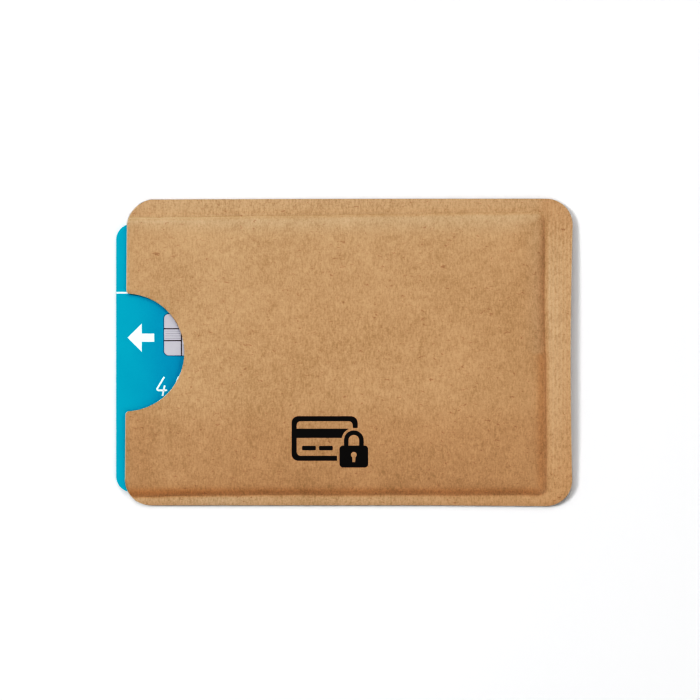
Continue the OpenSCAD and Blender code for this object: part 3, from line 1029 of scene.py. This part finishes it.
def inkOn(surface, name, loops, body, slot, material, lift=0.008, thickness=0.012, cell=0.6):
    made = flatForm(name, loops, cell)
    values = {"Surface": surface, "Lift": lift * mm, "Thickness": thickness * mm, "Material": material}
    runTree(made, layInk, values)
    finishPiece(made, body, slot)


# A card with a stripe and two bars, and a padlock over its corner
badge = dict(
    card=(-11.5, 1.7, -21.7, -12.8),  # left, right, bottom and top
    cardCorner=1.3,
    line=0.95,
    stripe=(-17.1, -15.3),
    bars=((-9.4, -6.7), (-6.0, -3.3)),
    barsY=(-19.6, -18.75),
    barCorner=0.2,
    lock=(-1.9, 3.8, -23.06, -18.7),
    lockCorner=0.7,
    shackleTop=-15.65,
    shackleRadius=1.95,
    shackleLine=0.85,
    clear=0.55,  # how far the card's lines keep from the padlock
    keyhole=0.62,
    keyholeRise=0.35,
    keyholeOpen=55,
    slotHalf=0.3,
    slotDrop=1.5,
)


def badgeCard(lockX, shackleY, around):  # its frame and stripe in one loop, open where the padlock is
    left, right, low, high = badge["card"]
    line = badge["line"]
    inside = (left + line, right - line, low + line, high - line)
    inner = badge["cardCorner"] - line / 2
    stopX, stopY = badge["lock"][0] - badge["clear"], shackleY + around
    under, over = [180 - math.degrees(math.asin((y - shackleY) / around)) for y in badge["stripe"]]
    loop = [(right, stopY)]
    for quarter in (0, 1, 2):
        loop += cornerArc(badge["card"], badge["cardCorner"], quarter)
    loop += [(stopX, low), (stopX, low + line)]
    loop += cornerArc(inside, inner, 2)[::-1] + [(left + line, badge["stripe"][0])]
    loop += arcPoints(lockX, shackleY, around, under, over) + [(left + line, badge["stripe"][1])]
    loop += cornerArc(inside, inner, 1)[::-1] + cornerArc(inside, inner, 0)[::-1]
    return loop + [(right - line, stopY)]


def badgeLock(lockX, shackleY, radius):  # the padlock, the eye under its shackle and its keyhole
    low, high = badge["lock"][2:]
    foot, right, left = [cornerArc(badge["lock"], badge["lockCorner"], quarter) for quarter in (3, 0, 1)]
    body = cornerArc(badge["lock"], badge["lockCorner"], 2) + foot + right
    body += [(lockX + radius, high)] + arcPoints(lockX, shackleY, radius, 0, 180, 16)
    body += [(lockX - radius, high)] + left
    inner = radius - badge["shackleLine"]
    eye = arcPoints(lockX, shackleY, inner, 0, 180, 16)
    eye = [(lockX + inner, high), *eye, (lockX - inner, high)]
    holeY, wide = (low + high) / 2 + badge["keyholeRise"], badge["keyholeOpen"]
    slotY, half = holeY - badge["slotDrop"], badge["slotHalf"]
    hole = arcPoints(lockX, holeY, badge["keyhole"], -wide, 180 + wide, 14)
    hole += [(lockX - half, slotY), (lockX + half, slotY)]
    return [body, eye, hole]


def badgeLoops():
    lockX = (badge["lock"][0] + badge["lock"][1]) / 2
    radius = badge["shackleRadius"]
    shackleY = badge["shackleTop"] - radius
    card = badgeCard(lockX, shackleY, radius + badge["clear"])
    bars = [roundedLoop((*barX, *badge["barsY"]), badge["barCorner"]) for barX in badge["bars"]]
    return [card, *bars, *badgeLock(lockX, shackleY, radius)]


inkOn(frontPanel, "panelBadge", badgeLoops(), "sleeve", "kraft_paper", finish["blackInk"])

# The card's print, from its upper near corner: a line, an arrow out of the mouth and a row of digits
marks = dict(
    lineY=-13.85,
    lineWidth=0.38,
    lineInset=0.02,
    arrowLeft=2.25,
    arrowLength=5.4,
    arrowY=-22.9,
    arrowHalf=2.9,
    shaftHalf=0.85,
    headLength=2.9,
    digitsX=7.75,
    digitsY=-34.65,
    digitWidth=2.3,
    digitHeight=3.85,
    digitPitch=3.6,
    digitLine=0.4,
    slant=0.2,
    digits="4501 2345 0123 4502",
)
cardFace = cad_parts["card_front_overlay"]
cardLeft, cardTop = cardLow[0], cardHigh[1]


def cardInk(name, loop):
    material = finish["whiteInk"]
    inkOn(cardFace, name, [loop], "card", "card_print", material, lift=0.004, thickness=0.008, cell=20)


def lineLoop():
    top = cardTop + marks["lineY"] + marks["lineWidth"] / 2
    ends = (cardLeft + marks["lineInset"], cardHigh[0] - marks["lineInset"])
    return [(x, top) for x in ends] + [(x, top - marks["lineWidth"]) for x in ends[::-1]]


def arrowLoop():
    tipX, tipY = cardLeft + marks["arrowLeft"], cardTop + marks["arrowY"]
    neck, tail = tipX + marks["headLength"], tipX + marks["arrowLength"]
    half = [(neck, marks["arrowHalf"]), (neck, marks["shaftHalf"]), (tail, marks["shaftHalf"])]
    return [(tipX, tipY)] + [(x, tipY - y) for x, y in half] + [(x, tipY + y) for x, y in half[::-1]]


cardInk("cardLine", lineLoop())
cardInk("cardArrow", arrowLoop())


def strokeTree():  # a flattened round line along every drawn path
    tree, g, given = geometryTree("drawStrokes", ("Width", "Height", "Bend"))
    path = g.node("GeometryNodeMeshToCurve", {}, {"Mesh": given["Geometry"]})
    values = {"Curve": path, "Radius": given["Bend"], "Count": 5, "Limit Radius": True}
    path = g.node("GeometryNodeFilletCurve", {"mode": "POLY"}, values)
    values = {"Resolution": 10, "Radius": given["Width"] * 0.5}
    ring = g.node("GeometryNodeCurvePrimitiveCircle", {}, values)
    values = {"Curve": path, "Profile Curve": ring, "Fill Caps": True}
    tube = g.node("GeometryNodeCurveToMesh", {}, values)
    position = g.node("GeometryNodeInputPosition")
    level = g.node("ShaderNodeSeparateXYZ", {}, {"Vector": position}, out="Z")
    flat = (level - attribute(g, "level")) * (given["Height"] / given["Width"] - 1.0)
    endTree(g, moved(g, {"Geometry": tube, "Offset": upwards(g, flat)}), given["Material"])
    return tree


drawStrokes = strokeTree()


def drawOnCard(name, strokes, z, width, look, slot, height=0.012, bend=0.25):
    points, edges = [], []
    for stroke in strokes:
        edges += [(len(points) + i, len(points) + i + 1) for i in range(len(stroke) - 1)]
        points += [(x * mm, y * mm, z * mm) for x, y in stroke]
    mesh = bpy.data.meshes.new(name)
    mesh.from_pydata(points, edges, [])
    mesh.attributes.new("level", "FLOAT", "POINT").data.foreach_set("value", [z * mm] * len(points))
    made = newObject(name, mesh)
    values = {"Width": width * mm, "Height": height * mm, "Bend": bend * mm, "Material": finish[look]}
    runTree(made, drawStrokes, values)
    finishPiece(made, "card", slot)


def ovalArc(x, y, halfWidth, halfHeight, start, end, steps=14):
    turns = np.radians(np.linspace(start, end, steps + 1))
    return [(x + halfWidth * math.cos(a), y + halfHeight * math.sin(a)) for a in turns]


digitStrokes = {  # in a box one wide and one high
    "0": [ovalArc(0.5, 0.5, 0.5, 0.5, 80, 440, 24)],
    "1": [[(0.2, 0.78), (0.6, 1.0), (0.6, 0.0)]],
    "2": [ovalArc(0.5, 0.7, 0.46, 0.3, 165, -35) + [(0.03, 0.0), (1.0, 0.0)]],
    "3": [ovalArc(0.45, 0.75, 0.42, 0.25, 150, -80), ovalArc(0.45, 0.27, 0.5, 0.27, 80, -150)],
    "4": [[(0.5, 1.0), (0.02, 0.3), (1.0, 0.3)], [(0.68, 0.56), (0.68, 0.0)]],
    "5": [[(0.95, 1.0), (0.18, 1.0), (0.08, 0.56)] + ovalArc(0.45, 0.31, 0.5, 0.31, 110, -150)],
}


def digitPaths():
    paths = []
    for column, digit in enumerate(marks["digits"]):
        for stroke in digitStrokes.get(digit, []):
            path = []
            for x, y in stroke:
                across = marks["digitsX"] + marks["digitPitch"] * column + marks["digitWidth"] * x
                up = marks["digitHeight"] * y
                path.append((cardLeft + across + marks["slant"] * up, cardTop + marks["digitsY"] + up))
            paths.append(path)
    return paths


drawOnCard("cardDigits", digitPaths(), cardHigh[2] + 0.002, marks["digitLine"], "whiteInk", "card_print")

# Fine lines engraved on the middle contacts, and the dark seat round the plate
plateMarks = dict(
    lines=(0.72, 0.24, -0.24, -0.72),
    inset=0.25,
    contact=3.3,
    line=dict(width=0.07, height=0.008, bend=0.05),
    seat=0.04,
    corner=1.0,
    rim=dict(width=0.11, height=0.01, bend=0.02),
)


def platePaths():
    middleY = (plateLow[1] + plateHigh[1]) / 2
    paths = []
    for y in plateMarks["lines"]:
        for start, way in ((plateLow[0], 1), (plateHigh[0], -1)):
            near, far = start + way * plateMarks["inset"], start + way * plateMarks["contact"]
            paths.append([(near, middleY + y), (far, middleY + y)])
    return paths


def rimPath():
    left, bottom = [place - plateMarks["seat"] for place in plateLow[:2]]
    right, top = [place + plateMarks["seat"] for place in plateHigh[:2]]
    loop = roundedLoop((left, right, bottom, top), plateMarks["corner"])
    return loop + loop[:1]


onPlate = plateHigh[2] + 0.001
drawOnCard(
    "plateLines", platePaths(), onPlate, look="engravedLine", slot="contact_metal", **plateMarks["line"]
)
drawOnCard("plateRim", [rimPath()], onPlate, look="plateSeat", slot="chip_tape", **plateMarks["rim"])
print("print laid")


# Camera, floor and lights


camera = dict(lens=120.0, pixelsPerMm=4.965, imageWidth=700, sleeveX=349.1, sleeveY=352.5)


def makeCamera():
    data = bpy.data.cameras.new("camera")
    data.lens = camera["lens"]
    width = camera["imageWidth"] / camera["pixelsPerMm"] * mm
    distance = width * data.lens / data.sensor_width
    half = camera["imageWidth"] / 2
    across = (half - camera["sleeveX"]) / camera["pixelsPerMm"]
    up = (camera["sleeveY"] - half) / camera["pixelsPerMm"]
    made = newObject("camera", data)
    made.location = (across * mm, up * mm, distance + middleZ * mm)
    bpy.context.scene.camera = made


floor = dict(
    pale=srgb(242, 242, 242),
    deep=srgb(239, 239, 240),
    cloud=90.0,
    reach=3000.0,
    drop=0.02,
    roughness=0.7,
)


def floorMaterial():
    g = startMaterial("paleFloor")
    colour = mixColour(g, noise(g, floor["cloud"]), floor["deep"], floor["pale"])
    values = {"Base Color": colour, "Roughness": floor["roughness"], "Specular IOR Level": 0.2}
    return endMaterial(g, values)


def makeFloor():
    mesh = bpy.data.meshes.new("floor")
    reach = floor["reach"] * mm
    corners = [(x * reach, y * reach, 0) for x, y in ((-1, -1), (1, -1), (1, 1), (-1, 1))]
    mesh.from_pydata(corners, [], [(0, 1, 2, 3)])
    mesh.materials.append(floorMaterial())
    made = newObject("floor", mesh)
    made.location.z = -floor["drop"] * mm


lights = dict(  # places in metres
    key=dict(place=(-1.02, 0.40, 1.22), size=0.45, power=18.05),
    top=dict(place=(-0.10, 0.84, 1.09), size=1.15, power=7.0),
    fill=dict(place=(0.75, -0.75, 0.75), size=0.9, power=4.2),
)


def makeLight(name, place, size, power):
    data = bpy.data.lights.new(name, "AREA")
    data.shape = "DISK"
    data.size = size
    data.energy = power
    made = newObject(name, data)
    made.location = place
    made.rotation_euler = (-Vector(place)).to_track_quat("-Z", "Y").to_euler()


studio = dict(
    sky=0.32,
    north=0.6,  # how much brighter it is beyond the sleeve's upper edge
    zenith=0.03,  # the camera's dark side, which gloss surfaces mirror
    zenithFrom=(0.93, 0.985),
)


def makeWorld():
    world = bpy.data.worlds.new("studio")
    world.use_nodes = True
    world.node_tree.nodes.clear()
    g = Graph(world.node_tree)
    toward = g.node("ShaderNodeTexCoord", out="Object")
    height = g.node("ShaderNodeSeparateXYZ", {}, {"Vector": toward}, out="Z")
    dark = ramp(g, height, *studio["zenithFrom"])
    sky = (1.0 + height.beside("Y") * studio["north"]) * studio["sky"]
    strength = sky + dark * (studio["zenith"] - sky)
    shader = g.node("ShaderNodeBackground", {}, {"Color": (1, 1, 1, 1), "Strength": strength})
    output = g.tree.nodes.new("ShaderNodeOutputWorld")
    g.tree.links.new(shader.socket, output.inputs["Surface"])
    bpy.context.scene.world = world


# The photograph's contrast: deep tones fall faster than pale ones
grade = ((0.1, 0.016), (0.2, 0.068), (0.3, 0.16), (0.4, 0.28))
grade += ((0.5, 0.413), (0.62, 0.552), (0.8, 0.725), (0.9, 0.85))


def setGrade():
    view = bpy.context.scene.view_settings
    view.view_transform = "Standard"
    view.use_curve_mapping = True
    for x, y in grade:
        view.curve_mapping.curves[3].points.new(x, y)
    view.curve_mapping.update()


makeCamera()
makeFloor()
for lightName, light in lights.items():
    makeLight(lightName, **light)
makeWorld()
setGrade()
print("stage set")
